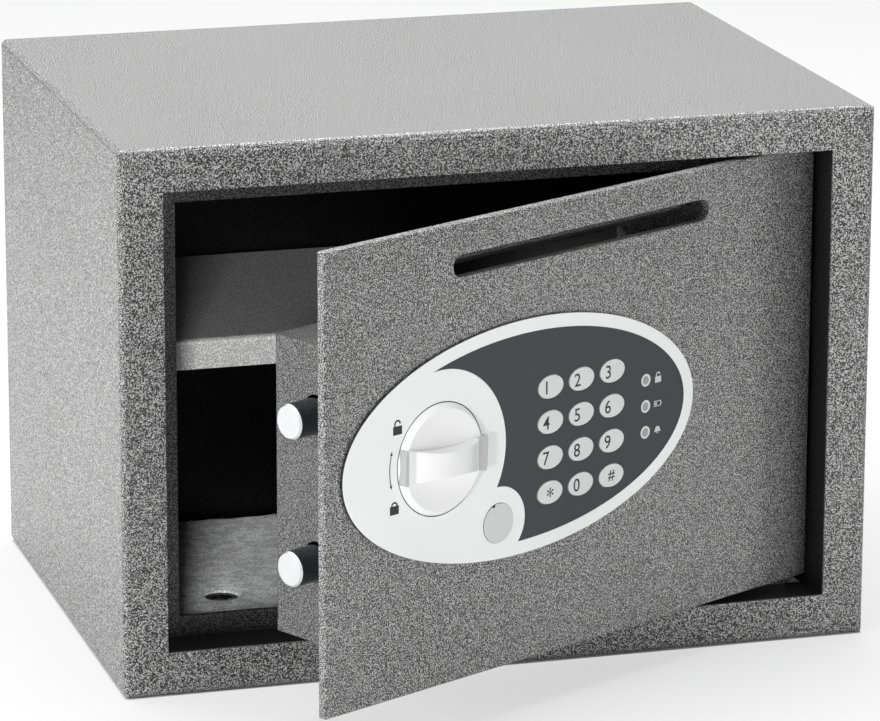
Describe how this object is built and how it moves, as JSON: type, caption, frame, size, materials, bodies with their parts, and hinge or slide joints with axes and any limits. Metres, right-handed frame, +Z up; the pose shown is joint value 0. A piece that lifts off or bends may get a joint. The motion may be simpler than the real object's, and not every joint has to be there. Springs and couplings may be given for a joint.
{
  "type": "electronic deposit safe",
  "caption": "Small steel deposit safe with a hinged door, sliding locking bolts, a knob, an electronic keypad in an oval escutcheon, a deposit slot with a baffled chute and a lift-out shelf.",
  "frame": {"origin": "on the underside of the cabinet, midway between the two anchor holes of its base, which is the middle of the underside", "axes": "+Z up, +Y from the front face to the back, +X to the right as seen from the front, so the hinge is at +X; the door stands 27.3 degrees open"},
  "size_m": [0.35, 0.3659, 0.25],
  "materials": {
    "hammered_paint": "hammered grey with fine light and dark flecks",
    "bright_steel": "bright zinc-plated",
    "polished_steel": "polished",
    "yellow_brass": "machined",
    "shell_plastic": "satin pale grey",
    "knob_plastic": "satin pearl white",
    "panel_plastic": "satin dark grey",
    "key_plastic": "satin pale grey",
    "cap_plastic": "satin grey",
    "lens_plastic": "frosted, with a white rim",
    "black_plastic": "matt black",
    "silicone": "matt grey",
    "circuit_board": "green lacquer",
    "cell_sleeve": "plain grey sleeve",
    "felt": "light grey felt"
  },
  "bodies": {
    "cabinet": {"body_wrap": "hammered_paint", "front_frame": "hammered_paint", "back_panel": "hammered_paint", "door_jamb": "hammered_paint", "door_stop": "hammered_paint", "hinge_bracket_upper": "bright_steel", "hinge_bracket_lower": "bright_steel", "hinge_washer": "yellow_brass", "shelf_ledges": "hammered_paint", "floor_mat": "felt"},
    "shelf": {"shelf": "hammered_paint"},
    "door": {"door_plate": "hammered_paint", "hinge_knuckles": "bright_steel", "hinge_pins": "polished_steel", "deposit_chute": "hammered_paint", "deposit_baffle": "hammered_paint", "lock_box": "hammered_paint", "cover_posts": "bright_steel", "cover_screws": "bright_steel", "guide_studs": "bright_steel", "solenoid_body": "black_plastic", "control_board": "circuit_board", "battery_tray": "black_plastic", "batteries": "cell_sleeve", "override_barrel": "bright_steel", "spindle_bush": "yellow_brass", "escutcheon": "shell_plastic", "escutcheon_gasket": "silicone", "keypad_panel": "panel_plastic", "keypad_housing": "black_plastic", "keypad_board": "circuit_board", "key_mat": "silicone", "led_lenses": "lens_plastic"},
    "knob": {"knob_dial": "knob_plastic", "knob_grip": "knob_plastic", "knob_spindle": "bright_steel", "crank": "bright_steel"},
    "bolts": {"bolt_carrier": "bright_steel", "bolt_upper": "polished_steel", "bolt_lower": "polished_steel"},
    "plunger": {"solenoid_plunger": "bright_steel"},
    "battery_cover": {"battery_cover": "black_plastic"},
    "override_plug": {"override_plug": "yellow_brass"},
    "keyhole_cap": {"keyhole_cap": "cap_plastic"},
    "key_1": {"key_1": "key_plastic"},
    "key_2": {"key_2": "key_plastic"},
    "key_3": {"key_3": "key_plastic"},
    "key_4": {"key_4": "key_plastic"},
    "key_5": {"key_5": "key_plastic"},
    "key_6": {"key_6": "key_plastic"},
    "key_7": {"key_7": "key_plastic"},
    "key_8": {"key_8": "key_plastic"},
    "key_9": {"key_9": "key_plastic"},
    "key_star": {"key_star": "key_plastic"},
    "key_0": {"key_0": "key_plastic"},
    "key_hash": {"key_hash": "key_plastic"}
  },
  "joints": [
    {"name": "door_swing", "type": "hinge", "parent": "cabinet", "child": "door", "pos_m": [0.143, -0.097, 0.125], "axis": [0, 0, 1], "range_deg": [-27.3, 64.7]},
    {"name": "knob_turn", "type": "hinge", "parent": "door", "child": "knob", "pos_m": [-0.05155, -0.21913, 0.1269], "axis": [0.4587, -0.8886, 0], "range_deg": [0, 60]},
    {"name": "bolt_throw", "type": "slide", "parent": "door", "child": "bolts", "axis": [-0.8886, -0.4587, 0], "range_m": [0, 0.014]},
    {"name": "plunger_lift", "type": "slide", "parent": "door", "child": "plunger", "axis": [0, 0, 1], "range_m": [0, 0.006]},
    {"name": "battery_cover_slide", "type": "slide", "parent": "door", "child": "battery_cover", "axis": [0.8886, 0.4587, 0], "range_m": [0, 0.012]},
    {"name": "override_turn", "type": "hinge", "parent": "door", "child": "override_plug", "pos_m": [-0.0232, -0.19775, 0.0909], "axis": [0.4587, -0.8886, 0], "range_deg": [0, 90]},
    {"name": "cap_pull", "type": "slide", "parent": "door", "child": "keyhole_cap", "axis": [0.4587, -0.8886, 0], "range_m": [0, 0.008]},
    {"name": "shelf_lift", "type": "slide", "parent": "cabinet", "child": "shelf", "axis": [0, 0, 1], "range_m": [0, 0.012]},
    {"name": "key_1_press", "type": "slide", "parent": "door", "child": "key_1", "axis": [-0.4587, 0.8886, 0], "range_m": [0, 0.001], "stiffness_N_per_m": 800, "springref_m": -0.0005},
    {"name": "key_2_press", "type": "slide", "parent": "door", "child": "key_2", "axis": [-0.4587, 0.8886, 0], "range_m": [0, 0.001], "stiffness_N_per_m": 800, "springref_m": -0.0005},
    {"name": "key_3_press", "type": "slide", "parent": "door", "child": "key_3", "axis": [-0.4587, 0.8886, 0], "range_m": [0, 0.001], "stiffness_N_per_m": 800, "springref_m": -0.0005},
    {"name": "key_4_press", "type": "slide", "parent": "door", "child": "key_4", "axis": [-0.4587, 0.8886, 0], "range_m": [0, 0.001], "stiffness_N_per_m": 800, "springref_m": -0.0005},
    {"name": "key_5_press", "type": "slide", "parent": "door", "child": "key_5", "axis": [-0.4587, 0.8886, 0], "range_m": [0, 0.001], "stiffness_N_per_m": 800, "springref_m": -0.0005},
    {"name": "key_6_press", "type": "slide", "parent": "door", "child": "key_6", "axis": [-0.4587, 0.8886, 0], "range_m": [0, 0.001], "stiffness_N_per_m": 800, "springref_m": -0.0005},
    {"name": "key_7_press", "type": "slide", "parent": "door", "child": "key_7", "axis": [-0.4587, 0.8886, 0], "range_m": [0, 0.001], "stiffness_N_per_m": 800, "springref_m": -0.0005},
    {"name": "key_8_press", "type": "slide", "parent": "door", "child": "key_8", "axis": [-0.4587, 0.8886, 0], "range_m": [0, 0.001], "stiffness_N_per_m": 800, "springref_m": -0.0005},
    {"name": "key_9_press", "type": "slide", "parent": "door", "child": "key_9", "axis": [-0.4587, 0.8886, 0], "range_m": [0, 0.001], "stiffness_N_per_m": 800, "springref_m": -0.0005},
    {"name": "key_star_press", "type": "slide", "parent": "door", "child": "key_star", "axis": [-0.4587, 0.8886, 0], "range_m": [0, 0.001], "stiffness_N_per_m": 800, "springref_m": -0.0005},
    {"name": "key_0_press", "type": "slide", "parent": "door", "child": "key_0", "axis": [-0.4587, 0.8886, 0], "range_m": [0, 0.001], "stiffness_N_per_m": 800, "springref_m": -0.0005},
    {"name": "key_hash_press", "type": "slide", "parent": "door", "child": "key_hash", "axis": [-0.4587, 0.8886, 0], "range_m": [0, 0.001], "stiffness_N_per_m": 800, "springref_m": -0.0005}
  ],
  "couplings": [
    {"joint": "knob_turn", "follows": "bolt_throw", "rad_per_m": 74.799}
  ]
}
